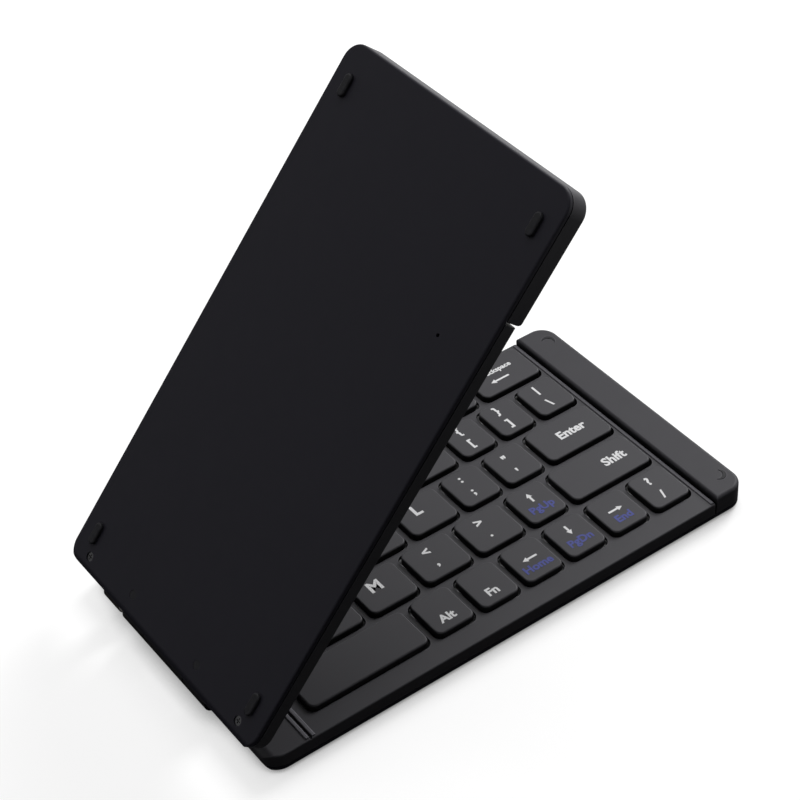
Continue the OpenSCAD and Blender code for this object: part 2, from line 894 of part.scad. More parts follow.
module base_end_cap() {
    color([0.19, 0.19, 0.2])
        on_base()
            difference() {
                end_shell(base_end_x, base_step_r);
                bumper_seats();
            }
}

module bumper_seats() {
    translate([0, 0, end_z - bumper_seat]) linear_extrude(axis_z) bumper_plans(bumper_gap);
}

// Crescents that curve about the two corners of the free end
module bumper_plans(gap) {
    shift = bumper_w / sqrt(2);
    for (side = [-1, 1])
        scale([1, side])
            translate([bumper_x, bumper_y])
                difference() {
                    circle(bumper_r + gap);
                    translate([-shift, -shift]) circle(bumper_r - gap);
                }
}

module base_bumpers() {
    color([0.06, 0.06, 0.065])
        on_base()
            translate([0, 0, end_z - bumper_seat])
                linear_extrude(bumper_seat + bumper_out) bumper_plans(0);
}

module base_support_plate() {
    on_base() support_plate(base_deck_x);
}

module base_membrane() {
    on_base() membrane(base_deck_x);
}

module base_dome_sheet() {
    on_base() dome_sheet(base_rows, base_deck_x);
}

module base_magnets() {
    on_base() magnets();
}

module base_feet() {
    on_base() feet();
}

module base_screws() {
    on_base() screws();
}

module base_screw_plugs() {
    on_base() screw_plugs();
}

// The right half's leaf carries the two outer knuckles, which hold the pin
module base_hinge_leaf() {
    inner_y = knuckle_l / 2 + hinge_clearance;
    color([0.5, 0.5, 0.52])
        on_base()
            difference() {
                union() {
                    for (side = [0, 1])
                        mirror([0, side, 0]) {
                            knuckle(inner_y, barrel_l / 2, pin_r);
                            leaf_strip(inner_y, barrel_l / 2, pin_r);
                        }
                    leaf_plate();
                }
                leaf_holes();
            }
}

module hinge_pin() {
    color([0.75, 0.75, 0.77]) on_base() hinge_pin_shape();
}

module flex_cable() {
    color([0.35, 0.22, 0.08]) on_base() flex_run();
}

// ================= Left half =================

module lid_outer_cover() {
    color([0.13, 0.13, 0.14])
        on_lid()
            difference() {
                outer_cover(lid_deck_x);
                translate([pinhole_x, pinhole_y, -cut])
                    cylinder(r = pinhole_r, h = axis_z);
            }
}

module lid_key_frame() {
    color([0.2, 0.2, 0.21]) on_lid() key_frame(lid_rows, lid_deck_x);
}

module lid_end_block() {
    color([0.19, 0.19, 0.2])
        on_lid()
            difference() {
                end_shell(lid_end_x, lid_step_r);
                translate([button_x, button_y, 0])
                    cylinder(r = button_r + button_gap, h = axis_z);
                translate([button_x, lens_y, 0])
                    cylinder(r = lens_r + lens_gap, h = axis_z);
                translate([socket_x - socket_w / 2 - socket_gap, depth / 2 - port_depth,
                    board_z + board_t - socket_gap])
                    cube([socket_w + 2 * socket_gap, port_depth + cut,
                        socket_h + 2 * socket_gap]);
                translate([switch_x - switch_slot_l / 2, depth / 2 - port_depth,
                    switch_z - switch_slot_h / 2])
                    cube([switch_slot_l, port_depth + cut, switch_slot_h]);
            }
}

module lid_support_plate() {
    on_lid() support_plate(lid_deck_x);
}

module lid_membrane() {
    on_lid() membrane(lid_deck_x);
}

module lid_dome_sheet() {
    on_lid() dome_sheet(lid_rows, lid_deck_x);
}

module lid_magnets() {
    on_lid() magnets();
}

module lid_feet() {
    on_lid() feet();
}

module lid_screws() {
    on_lid() screws();
}

module lid_screw_plugs() {
    on_lid() screw_plugs();
}

// The left half's leaf carries the middle knuckle, which turns on the pin
module lid_hinge_leaf() {
    color([0.5, 0.5, 0.52])
        on_lid()
            difference() {
                union() {
                    knuckle(-knuckle_l / 2, knuckle_l / 2, pin_r + pin_clearance);
                    leaf_strip(-knuckle_l / 2, knuckle_l / 2, pin_r + pin_clearance);
                    leaf_plate();
                }
                leaf_holes();
            }
}

module battery() {
    color([0.66, 0.67, 0.7])
        on_lid()
            translate([battery_x, battery_y, battery_z])
                soft_slab(battery_w, battery_l, battery_t, battery_corner_r, battery_edge_r,
                    battery_edge_r);
}

// Circuit board with the chips, the switch body and the button's contact on it
module controller_board() {
    top_z = board_z + board_t;
    color([0.05, 0.25, 0.12])
        on_lid() {
            translate([board_x, board_y, board_z])
                cube([board_w, board_back_y - board_y, board_t]);
            translate([board_x + chip_inset, board_y + chip_inset, top_z])
                cube([chip_w, chip_w, chip_t]);
            translate([switch_x - switch_body_l / 2, board_back_y - switch_body_w, top_z])
                difference() {
                    cube([switch_body_l, switch_body_w, switch_body_h]);
                    translate([switch_body_wall, switch_body_wall, switch_body_floor])
                        cube([switch_body_l - 2 * switch_body_wall, switch_body_w,
                            switch_body_h]);
                }
            translate([button_x, button_y, top_z])
                cylinder(r = contact_r, h = button_bottom_z - contact_gap - top_z);
            translate([button_x - led_l / 2, lens_y - led_w / 2, top_z])
                cube([led_l, led_w, led_h]);
            for (x = [board_post_inset, board_w - board_post_inset],
                 y = [board_y + board_post_inset, board_back_y - board_post_inset])
                translate([board_x + x, y, cover_t])
                    cylinder(r = board_post_r, h = board_z - cover_t);
        }
}

module charging_socket() {
    color([0.7, 0.7, 0.72])
        on_lid()
            translate([socket_x - socket_w / 2, socket_back_y - socket_d,
                board_z + board_t])
                difference() {
                    soft_shell(socket_w, socket_d, socket_h, socket_r);
                    translate([0, socket_back, 0])
                        soft_shell(socket_w, socket_d, socket_h, socket_r, socket_wall);
                }
}

// Box with rounded edges along Y, drawn in by an inset
module soft_shell(width, length, height, r, inset = 0) {
    translate([inset, length, inset])
        rotate([90, 0, 0])
            linear_extrude(length)
                rounded_rectangle(width - 2 * inset, height - 2 * inset, r - inset);
}

module status_lens() {
    color([0.8, 0.85, 0.9, 0.6])
        on_lid()
            translate([button_x, lens_y, end_z - magnet_roof - lens_flange_t]) {
                cylinder(r = lens_r, h = magnet_roof + lens_flange_t - lens_gap);
                cylinder(r = lens_r + lens_flange, h = lens_flange_t);
            }
}

// Knob of the sliding power switch, drawn at the "off" end of its slot
module power_switch_knob() {
    color([0.1, 0.1, 0.11])
        on_lid()
            translate([switch_x - switch_travel / 2 - knob_w / 2,
                depth / 2 - wall - knob_in, switch_z - knob_h / 2])
                cube([knob_w, wall + knob_in + knob_out, knob_h]);
}

module pairing_button() {
    color([0.12, 0.12, 0.13])
        on_lid()
            translate([button_x, button_y, 0]) {
                translate([0, 0, button_bottom_z]) cylinder(r = button_r, h = button_h);
                translate([0, 0, end_z - magnet_roof - button_rim_t])
                    cylinder(r = button_rim_r, h = button_rim_t);
            }
}

// ================= Keys of the right half =================

module key_backspace() { base_key(NUMBER_ROW, 7); }
module key_bracket_left() { base_key(TOP_ROW, 5); }
module key_bracket_right() { base_key(TOP_ROW, 6); }
module key_backslash() { base_key(TOP_ROW, 7); }
module key_semicolon() { base_key(HOME_ROW, 4); }
module key_quote() { base_key(HOME_ROW, 5); }
module key_enter() { base_key(HOME_ROW, 6); }
module key_letter_l() { base_key(HOME_ROW, 3); }
module key_letter_m() { base_key(BOTTOM_ROW, 2); }
module key_comma() { base_key(BOTTOM_ROW, 3); }
module key_period() { base_key(BOTTOM_ROW, 4); }
module key_arrow_up() { base_key(BOTTOM_ROW, 5); }
module key_shift_right() { base_key(BOTTOM_ROW, 6); }
module key_space_right() { base_key(SPACE_ROW, 0); }
module key_alt() { base_key(SPACE_ROW, 1); }
module key_function() { base_key(SPACE_ROW, 2); }
module key_arrow_left() { base_key(SPACE_ROW, 3); }
module key_arrow_down() { base_key(SPACE_ROW, 4); }
module key_arrow_right() { base_key(SPACE_ROW, 5); }
module key_slash() { base_key(SPACE_ROW, 6); }
module keys_numbers_right() { for (i = [0:6]) base_key(NUMBER_ROW, i); }
module keys_top_letters_right() { for (i = [0:4]) base_key(TOP_ROW, i); }
module keys_home_letters_right() { for (i = [0:2]) base_key(HOME_ROW, i); }
module keys_bottom_letters_right() { for (i = [0:1]) base_key(BOTTOM_ROW, i); }

// ================= Keys of the left half =================

module keys_numbers_left() { lid_row_keys(NUMBER_ROW); }
module keys_top_letters_left() { lid_row_keys(TOP_ROW); }
module keys_home_letters_left() { lid_row_keys(HOME_ROW); }
module keys_bottom_letters_left() { lid_row_keys(BOTTOM_ROW); }
module keys_space_row_left() { lid_row_keys(SPACE_ROW); }

base_bottom_cover();
base_key_frame();
base_end_cap();
base_support_plate();
base_membrane();
base_dome_sheet();
base_magnets();
base_bumpers();
base_feet();
base_screws();
base_screw_plugs();
base_hinge_leaf();
hinge_pin();
flex_cable();
lid_outer_cover();
lid_key_frame();
lid_end_block();
lid_support_plate();
lid_membrane();
lid_dome_sheet();
lid_magnets();
lid_feet();
lid_screws();
lid_screw_plugs();
lid_hinge_leaf();
battery();
controller_board();
charging_socket();
status_lens();
power_switch_knob();
pairing_button();
key_backspace();
key_bracket_left();
key_bracket_right();
key_backslash();
key_semicolon();
key_quote();
key_enter();
key_letter_l();
key_letter_m();
key_comma();
key_period();
key_arrow_up();
key_shift_right();
key_space_right();
key_alt();
key_function();
key_arrow_left();
key_arrow_down();
key_arrow_right();
key_slash();
keys_numbers_right();
keys_top_letters_right();
keys_home_letters_right();
keys_bottom_letters_right();
keys_numbers_left();
keys_top_letters_left();
keys_home_letters_left();
keys_bottom_letters_left();
keys_space_row_left();
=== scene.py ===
"""Folding keyboard: finishes, legends, floor, lights and camera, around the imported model."""
import json
import math

import bmesh
import bpy
from mathutils import Matrix, Vector


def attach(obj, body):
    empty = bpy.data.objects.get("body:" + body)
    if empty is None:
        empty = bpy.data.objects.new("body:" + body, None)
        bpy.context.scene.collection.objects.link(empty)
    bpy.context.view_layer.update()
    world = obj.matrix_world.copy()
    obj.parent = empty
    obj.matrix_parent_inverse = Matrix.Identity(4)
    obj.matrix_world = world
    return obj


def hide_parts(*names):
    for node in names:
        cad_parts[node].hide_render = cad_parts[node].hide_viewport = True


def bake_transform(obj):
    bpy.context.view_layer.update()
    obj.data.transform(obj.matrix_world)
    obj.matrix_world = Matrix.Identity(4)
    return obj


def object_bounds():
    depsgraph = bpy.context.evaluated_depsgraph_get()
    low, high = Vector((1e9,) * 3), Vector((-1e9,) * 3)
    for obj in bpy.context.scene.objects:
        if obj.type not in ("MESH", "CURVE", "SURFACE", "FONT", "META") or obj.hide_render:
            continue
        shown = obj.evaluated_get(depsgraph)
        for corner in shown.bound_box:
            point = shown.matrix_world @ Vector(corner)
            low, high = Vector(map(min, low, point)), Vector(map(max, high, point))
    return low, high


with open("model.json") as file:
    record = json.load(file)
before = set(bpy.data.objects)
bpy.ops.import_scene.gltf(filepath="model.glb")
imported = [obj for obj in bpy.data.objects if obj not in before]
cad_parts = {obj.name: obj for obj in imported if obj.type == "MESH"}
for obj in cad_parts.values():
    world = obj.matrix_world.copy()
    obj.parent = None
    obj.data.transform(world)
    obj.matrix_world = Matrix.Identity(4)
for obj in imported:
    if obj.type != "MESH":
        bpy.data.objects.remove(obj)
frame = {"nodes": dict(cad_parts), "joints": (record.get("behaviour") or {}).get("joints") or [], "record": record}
cad_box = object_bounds()

MM = 0.001
record = frame["record"]
nodes = frame["nodes"]
joints = {joint["name"]: joint for joint in frame["joints"]}
slot_of = {part["node"]: part["material_slot"] for part in record["subparts"]}
body_of_node = {node: body for body, members in record["behaviour"]["bodies"].items()
                for node in members}


def new_object(name, data):
    """New object of the scene, at the origin."""
    item = bpy.data.objects.new(name, data)
    bpy.context.scene.collection.objects.link(item)
    return item


def new_mesh(name, shape):
    """Mesh of a finished bmesh, which is freed."""
    mesh = bpy.data.meshes.new(name)
    shape.to_mesh(mesh)
    shape.free()
    return mesh


# ---------------------------------------------------------------- the two halves' own frames

HINGE = Vector(joints["fold"]["pos_m"])
LID_UP = -Vector(joints["keys_numbers_left_press"]["axis"])
DEPTH_WAY = Vector((0, 1, 0))
WELD = 1e-6


def half_frame(up):
    """Frame of a half, from the hinge axis, as someone who types on it sees it.

    X points to the right, Y away and Z out of its keys.
    """
    right = DEPTH_WAY.cross(up)
    axes = Matrix((right, DEPTH_WAY, up)).transposed().to_4x4()
    return Matrix.Translation(HINGE) @ axes


BASE = half_frame(Vector((0, 0, 1)))
LID = half_frame(LID_UP)


def islands(node, place):
    """Box of each separate solid of a node, in a half's frame, as (low, high), by rising X."""
    mesh = bmesh.new()
    mesh.from_mesh(nodes[node].data)
    bmesh.ops.remove_doubles(mesh, verts=mesh.verts, dist=WELD)
    inverse = place.inverted()
    left = set(mesh.verts)
    boxes = []
    while left:
        group, edge = set(), [left.pop()]
        while edge:
            vert = edge.pop()
            group.add(vert)
            for link in vert.link_edges:
                other = link.other_vert(vert)
                if other in left:
                    left.discard(other)
                    edge.append(other)
        points = [inverse @ vert.co for vert in group]
        low = Vector([min(point[i] for point in points) for i in range(3)])
        high = Vector([max(point[i] for point in points) for i in range(3)])
        boxes.append((low, high))
    mesh.free()
    return sorted(boxes, key=lambda box: box[0].x)


# ---------------------------------------------------------------- nodes of materials

# Places of the colour sockets of a Mix node.
MIX_FACTOR, MIX_A, MIX_B, MIX_RESULT = 0, 6, 7, 2

# The range in which most of a noise lies.
NOISE_MIDDLE = (0.3, 0.7)

# Dot product of a bevelled and the true normal, on flat stretches and along an edge.
EDGE_TURN = (0.995, 0.85)
EDGE_SAMPLES = 4
OPENNESS_SAMPLES = 8
FULL_WHITE = (1, 1, 1, 1)


def connect(tree, value, socket):
    """Links an output to an input, or writes a plain value into it."""
    if isinstance(value, bpy.types.NodeSocket):
        tree.links.new(value, socket)
    else:
        socket.default_value = value


def add(tree, kind, inputs, operation=None):
    """New node, with values or links for its inputs, by name or by place."""
    node = tree.nodes.new(kind)
    if operation:
        node.operation = operation
    for key, value in inputs.items():
        connect(tree, value, node.inputs[key])
    return node


def own_place(tree):
    """The point of the surface, in the piece's own coordinates."""
    return add(tree, "ShaderNodeTexCoord", {}).outputs["Object"]


def calculate(tree, operation, a, b):
    return add(tree, "ShaderNodeMath", {0: a, 1: b}, operation).outputs["Value"]


def dot(tree, a, b):
    node = add(tree, "ShaderNodeVectorMath", {0: a, 1: b}, "DOT_PRODUCT")
    return node.outputs["Value"]


def map_range(tree, value, start, end=(0, 1)):
    """Maps a value from one range to another, and stops at the ends."""
    node = add(tree, "ShaderNodeMapRange", {
        "Value": value,
        "From Min": start[0],
        "From Max": start[1],
        "To Min": end[0],
        "To Max": end[1],
    })
    return node.outputs["Result"]


def noise(tree, scale, detail, stretch=None):
    """Noise on the piece's own coordinates, in metres, so that its grain moves with it."""
    place = own_place(tree)
    if stretch:
        mapping = add(tree, "ShaderNodeMapping", {"Vector": place, "Scale": stretch})
        place = mapping.outputs["Vector"]
    node = add(tree, "ShaderNodeTexNoise", {"Vector": place, "Scale": scale, "Detail": detail})
    return node.outputs["Fac"]


def vary(tree, pattern, low=0, high=1):
    """Values from low to high, from the middle of a noise with its scale and detail."""
    return map_range(tree, noise(tree, *pattern), NOISE_MIDDLE, (low, high))


def mix(tree, factor, a, b):
    """Colour a where the factor is 0 and colour b where it is 1."""
    node = tree.nodes.new("ShaderNodeMix")
    node.data_type = "RGBA"
    connect(tree, factor, node.inputs[MIX_FACTOR])
    connect(tree, a, node.inputs[MIX_A])
    connect(tree, b, node.inputs[MIX_B])
    return node.outputs[MIX_RESULT]


def shade(color, factor):
    return (*(channel * factor for channel in color), 1)


def grey(level):
    return (level, level, level, 1)


def edge_mask(tree, radius):
    """0 on flat stretches and 1 along the edges, from how far a bevelled normal turns."""
    bevel = add(tree, "ShaderNodeBevel", {"Radius": radius})
    bevel.samples = EDGE_SAMPLES
    true_normal = add(tree, "ShaderNodeNewGeometry", {}).outputs["Normal"]
    return map_range(tree, dot(tree, bevel.outputs["Normal"], true_normal), EDGE_TURN)


def openness(tree, distance, limits):
    """0 deep in a gap or against another piece and 1 in the open."""
    node = add(tree, "ShaderNodeAmbientOcclusion", {"Distance": distance})
    node.samples = OPENNESS_SAMPLES
    return map_range(tree, node.outputs["AO"], limits)


def above(tree, place, level, fade):
    """0 up to a level of a half, along its own Z, and 1 from a fade's width above it."""
    up = place.to_3x3().col[2]
    start = up.dot(place.translation) + level
    return map_range(tree, dot(tree, own_place(tree), up), (start, start + fade))


def new_material(name):
    material = bpy.data.materials.new(name)
    material.use_nodes = True
    return material, material.node_tree, material.node_tree.nodes["Principled BSDF"]


# ---------------------------------------------------------------- looks of materials

# How a kind of surface varies. A noise is its scale, per metre, and its detail, and may be
# stretched. Tones are the darkest and lightest share of the colour, sheen is the least and
# the most added to the roughness, and grain is the strength and height of the bump.
PLASTIC = {
    "tone_noise": (45, 4), "tones": (0.96, 1.04),
    "sheen_noise": (260, 5), "sheen": (-0.02, 0.02),
    "grain_noise": (5200, 2), "grain": (0.25, 0.03 * MM),
}
RUBBER = {
    "tone_noise": (700, 4), "tones": (0.75, 1.3),
    "sheen_noise": (1500, 3), "sheen": (-0.1, 0.1),
    "grain_noise": (4000, 3), "grain": (0.35, 0.05 * MM),
}
BRUSH_LINES = (300, 4, (1, 40, 40))
BRUSHED = {
    "tone_noise": BRUSH_LINES, "tones": (0.85, 1.1),
    "sheen_noise": BRUSH_LINES, "sheen": (-0.07, 0.1),
    "grain_noise": BRUSH_LINES, "grain": (0.15, 0.02 * MM),
}
CLOUDS = (900, 4)
PLATED = {**BRUSHED, "tone_noise": CLOUDS, "sheen_noise": CLOUDS, "grain_noise": CLOUDS}
FILM = {
    "tone_noise": (160, 4), "tones": (0.9, 1.08),
    "sheen_noise": (500, 3), "sheen": (-0.05, 0.08),
    "grain_noise": (900, 3), "grain": (0.1, 0.03 * MM),
}
# Printed ink is a little uneven where the pad lifted off.
INK = {
    "tone_noise": (2600, 4), "tones": (0.86, 1),
    "sheen_noise": (1800, 3), "sheen": (0, 0.15),
    "grain_noise": (5200, 2), "grain": (0.2, 0.02 * MM),
}
PLAIN_SPECULAR = 0.5
RUBBER_SPECULAR = 0.12
INK_SPECULAR = 0.3
INK_ROUGHNESS = 0.5

# The ribs across a deck stand over this level of their half's frame, where their colour
# is lightened as a painted highlight.
RIDGE_LEVEL = -1.81 * MM
RIDGE_FADE = 0.1 * MM
RIB_HIGHLIGHT_TONE = 2.6
# How far the painted shade in gaps looks for nearby surfaces.
GAP_REACH = 4 * MM


def surface(name, color, roughness, look, specular=PLAIN_SPECULAR):
    """New material that varies as its look says, with its tree, shader and varied colour."""
    material, tree, shader = new_material(name)
    dark, light = look["tones"]
    varied = mix(tree, vary(tree, look["tone_noise"]), shade(color, dark), shade(color, light))
    less, more = look["sheen"]
    sheen = vary(tree, look["sheen_noise"], roughness + less, roughness + more)
    strength, height = look["grain"]
    bump = add(tree, "ShaderNodeBump", {
        "Height": noise(tree, *look["grain_noise"]),
        "Strength": strength,
        "Distance": height,
    })
    connect(tree, varied, shader.inputs["Base Color"])
    connect(tree, sheen, shader.inputs["Roughness"])
    connect(tree, bump.outputs["Normal"], shader.inputs["Normal"])
    shader.inputs["Specular IOR Level"].default_value = specular
    return material, tree, shader, varied


def plastic(name, color, roughness, specular=0.3, edge_highlight=0.35, edge=0.35 * MM,
            gap_shade=1.0, gap_shade_limits=(0.35, 0.6), rib_highlight_half=None):
    """Moulded plastic: spark-eroded grain, faint blotches, painted highlights along the edges
    and painted shade in the gaps.

    The painted shade deepens where the openness falls through a range, and a half's ribs get
    a painted highlight.
    """
    material, tree, shader, tone = surface(name, color, roughness, PLASTIC, specular)
    # Painted highlight: the colour is lightened along the edges.
    tone = mix(tree, edge_mask(tree, edge), tone, shade(color, 1 + edge_highlight))
    # Painted shade: the colour darkens deep in gaps and against other pieces.
    if gap_shade < 1:
        tone = mix(tree, openness(tree, GAP_REACH, gap_shade_limits), shade(color, gap_shade), tone)
    # Painted highlight: the ribs over their level are lightened.
    if rib_highlight_half:
        rib_highlight = above(tree, rib_highlight_half, RIDGE_LEVEL, RIDGE_FADE)
        tone = mix(tree, rib_highlight, tone, shade(color, RIB_HIGHLIGHT_TONE))
    connect(tree, tone, shader.inputs["Base Color"])
    return material


def rubber(name, color, roughness):
    return surface(name, color, roughness, RUBBER, RUBBER_SPECULAR)[0]


def metal(name, color, roughness, look=BRUSHED):
    material, _, shader, _ = surface(name, color, roughness, look)
    shader.inputs["Metallic"].default_value = 1
    return material


def film(name, color, roughness, transmission=0.0):
    material, _, shader, _ = surface(name, color, roughness, FILM)
    shader.inputs["Transmission Weight"].default_value = transmission
    return material


def ink(name, color):
    return surface(name, color, INK_ROUGHNESS, INK, INK_SPECULAR)[0]


def deck_plastic(name, half):
    # A deck paints highlights along its edges and on its ribs, and shade into its gaps.
    return plastic(name, (0.043, 0.042, 0.047), 0.5, specular=0.15, edge_highlight=0.9, edge=0.5 * MM,
                   gap_shade=0.1, rib_highlight_half=half)


# Each finish says how much highlight it paints along its edges and how much shade into its gaps.
FINISH = {
    "outer_covers": plastic("cover_plastic", (0.0128, 0.0122, 0.0175), 0.5, specular=0.10,
                            edge_highlight=0.6),
    "key_decks": deck_plastic("base_deck_plastic", BASE),
    "keycaps": plastic("keycap_plastic", (0.041, 0.040, 0.045), 0.46, specular=0.15, edge_highlight=0.2,
                       gap_shade=0.05, gap_shade_limits=(0.72, 0.92)),
    "controls": plastic("control_plastic", (0.030, 0.030, 0.033), 0.45, edge_highlight=0.5),
    "rubber": rubber("black_rubber", (0.010, 0.010, 0.012), 0.5),
    "dome_rubber": rubber("silicone_rubber", (0.62, 0.62, 0.63), 0.6),
    "steel": metal("pressed_steel", (0.50, 0.50, 0.51), 0.38),
    "bright_steel": metal("nickel_plate", (0.68, 0.68, 0.70), 0.2, PLATED),
    "film": film("polyester_film", (0.62, 0.68, 0.72), 0.25, transmission=0.5),
    "cable_film": plastic("cable_film", (0.020, 0.018, 0.016), 0.5, specular=0.2, edge_highlight=0),
    "black_steel": metal("blackened_steel", (0.045, 0.045, 0.047), 0.35),
    "battery_foil": metal("foil_pouch", (0.62, 0.63, 0.66), 0.42, PLATED),
    "circuit_board": film("solder_mask", (0.02, 0.15, 0.06), 0.3),
    "clear_plastic": film("lens_plastic", (0.85, 0.88, 0.92), 0.1, transmission=0.9),
}
# Nodes whose finish differs from the rest of their slot.
OWN_FINISH = {
    "lid_key_frame": deck_plastic("lid_deck_plastic", LID),
    # The end pieces paint highlights along their edges and shade into their gaps.
    "base_end_cap": plastic("end_plastic", (0.040, 0.039, 0.044), 0.5, specular=0.12, edge_highlight=0.9,
                            edge=0.7 * MM, gap_shade=0.1),
    "lid_end_block": plastic("lid_end_plastic", (0.036, 0.035, 0.040), 0.5, specular=0.15,
                             edge_highlight=0.5, gap_shade=0.1),
}
GUIDE_PLASTIC = plastic("guide_plastic", (0.11, 0.11, 0.115), 0.45, specular=0.4)
WHITE_INK = ink("white_ink", (0.80, 0.80, 0.81))
BLUE_INK = ink("blue_ink", (0.042, 0.054, 0.26))

for name, node_object in nodes.items():
    node_object.data.materials.clear()
    node_object.data.materials.append(OWN_FINISH.get(name, FINISH[slot_of[name]]))

# ---------------------------------------------------------------- legends

# Half the thickness of the ink, and how far its middle lies over the key's top.
INK_HEIGHT = 0.02 * MM
INK_LIFT = 0.6 * INK_HEIGHT

# Sizes of the letters and lengths of the arrows, in millimetres.
LETTER_SIZE = 5.0
PAIR_SIZE = 3.9
WORD_SIZE = 3.6
LARGE_WORD_SIZE = 4.0
SMALL_WORD_SIZE = 3.4
BACKSPACE_SIZE = 2.3
UPRIGHT_ARROW = 3.4
SIDE_ARROW = 4.4
LONG_ARROW = 6.0
ARROW_SHAFT = 0.62
ARROW_HEAD = 1.5

# The arrowhead's half width as a share of its length, and how far the outline of a letter
# is moved out as a share of its size.
ARROW_SPREAD = 0.55
BOLD = 0.036
CURVE_STEPS = 3

# Turns of the arrows, in degrees.
RIGHT, UP, LEFT, DOWN = 0, 90, 180, -90

# Where a legend sits on its key, as shares of the key's width and depth.
LETTER_AT = (0.41, 0.61)
UPPER_AT = (0.43, 0.74)
LOWER_AT = (0.43, 0.29)
WORD_AT = (0.47, 0.30)
CTRL_AT = (0.4, 0.3)
WIDE_WORD_AT = (0.4, 0.5)
ENTER_AT = (0.55, 0.52)
LEFT_SHIFT_AT = (0.3, 0.52)
RIGHT_SHIFT_AT = (0.70, 0.52)
BACKSPACE_AT = (0.5, 0.62)
LONG_ARROW_AT = (0.42, 0.34)
UPRIGHT_ARROW_AT = (0.48, 0.66)
SIDE_ARROW_AT = (0.49, 0.53)
BLUE_WORD_AT = (0.51, 0.29)

# Places of the two inks in a legend piece's materials.
WHITE, BLUE = 0, 1


def text_mesh(words, size):
    """Flat mesh of some words, centred on the origin, in metres."""
    curve = bpy.data.curves.new("words", "FONT")
    curve.body = words
    curve.size = size * MM
    curve.offset = BOLD * size * MM
    curve.align_x = "CENTER"
    curve.resolution_u = CURVE_STEPS
    curve.extrude = INK_HEIGHT
    holder = new_object("words", curve)
    bpy.context.view_layer.update()
    graph = bpy.context.evaluated_depsgraph_get()
    mesh = bpy.data.meshes.new_from_object(holder.evaluated_get(graph))
    bpy.data.objects.remove(holder)
    ys = [vert.co.y for vert in mesh.vertices]
    mesh.transform(Matrix.Translation((0, -(min(ys) + max(ys)) / 2, 0)))
    return mesh


def outline_mesh(points):
    """Flat prism of an outline, in millimetres."""
    shape = bmesh.new()
    low = [shape.verts.new((x * MM, y * MM, -INK_HEIGHT)) for x, y in points]
    high = [shape.verts.new((x * MM, y * MM, INK_HEIGHT)) for x, y in points]
    shape.faces.new(high)
    shape.faces.new(low[::-1])
    for i in range(len(points)):
        j = (i + 1) % len(points)
        shape.faces.new((low[i], low[j], high[j], high[i]))
    return new_mesh("outline", shape)


def arrow_mesh(turn, length):
    """Arrow centred on the origin, pointing along X before it turns."""
    end, neck = length / 2, length / 2 - ARROW_HEAD
    side, barb = ARROW_SHAFT / 2, ARROW_HEAD * ARROW_SPREAD
    mesh = outline_mesh([(-end, -side), (neck, -side), (neck, -barb), (end, 0), (neck, barb),
                         (neck, side), (-end, side)])
    mesh.transform(Matrix.Rotation(math.radians(turn), 4, "Z"))
    return mesh


def letter(character):
    return [(text_mesh(character, LETTER_SIZE), LETTER_AT, WHITE)]


def pair(upper, lower):
    return [(text_mesh(upper, PAIR_SIZE), UPPER_AT, WHITE),
            (text_mesh(lower, PAIR_SIZE), LOWER_AT, WHITE)]


def word(words, at=WORD_AT, size=WORD_SIZE):
    return [(text_mesh(words, size), at, WHITE)]


def arrow(turn, words, at, length):
    return [(arrow_mesh(turn, length), at, WHITE),
            (text_mesh(words, SMALL_WORD_SIZE), BLUE_WORD_AT, BLUE)]


def upright_arrow(turn, words):
    return arrow(turn, words, UPRIGHT_ARROW_AT, UPRIGHT_ARROW)


def side_arrow(turn, words):
    return arrow(turn, words, SIDE_ARROW_AT, SIDE_ARROW)


def backspace():
    return [(text_mesh("Backspace", BACKSPACE_SIZE), BACKSPACE_AT, WHITE),
            (arrow_mesh(LEFT, LONG_ARROW), LONG_ARROW_AT, WHITE)]


BLANK = []
LEGENDS = {
    "key_backspace": [backspace()],
    "key_bracket_left": [pair("{", "[")],
    "key_bracket_right": [pair("}", "]")],
    "key_backslash": [pair("|", "\\")],
    "key_semicolon": [pair(":", ";")],
    "key_quote": [pair('"', "'")],
    "key_enter": [word("Enter", ENTER_AT, LARGE_WORD_SIZE)],
    "key_letter_l": [letter("L")],
    "key_letter_m": [letter("M")],
    "key_comma": [pair("<", ",")],
    "key_period": [pair(">", ".")],
    "key_arrow_up": [upright_arrow(UP, "PgUp")],
    "key_shift_right": [word("Shift", RIGHT_SHIFT_AT, LARGE_WORD_SIZE)],
    "key_space_right": [BLANK],
    "key_alt": [word("Alt")],
    "key_function": [word("Fn")],
    "key_arrow_left": [side_arrow(LEFT, "Home")],
    "key_arrow_down": [upright_arrow(DOWN, "PgDn")],
    "key_arrow_right": [side_arrow(RIGHT, "End")],
    "key_slash": [pair("?", "/")],
    "keys_numbers_right": [pair(*signs)
                           for signs in ("^6", "&7", "*8", "(9", ")0", "_-", "+=")],
    "keys_top_letters_right": [letter(character) for character in "YUIOP"],
    "keys_home_letters_right": [letter(character) for character in "HJK"],
    "keys_bottom_letters_right": [letter(character) for character in "BN"],
    "keys_numbers_left": [word("Esc"), pair("~", "`")]
    + [pair(*signs) for signs in ("!1", "@2", "#3", "$4", "%5")],
    "keys_top_letters_left": [word("Tab", WIDE_WORD_AT)]
    + [letter(character) for character in "QWERT"],
    "keys_home_letters_left": [word("Caps", WIDE_WORD_AT)]
    + [letter(character) for character in "ASDFG"],
    "keys_bottom_letters_left": [word("Shift", LEFT_SHIFT_AT, LARGE_WORD_SIZE)]
    + [letter(character) for character in "ZXCV"],
    "keys_space_row_left": [word("Ctrl", CTRL_AT), word("Fn"), word("Opt"), word("Alt"),
                            BLANK],
}


def on_left_half(node):
    return node.startswith("keys_") and node.endswith("_left")


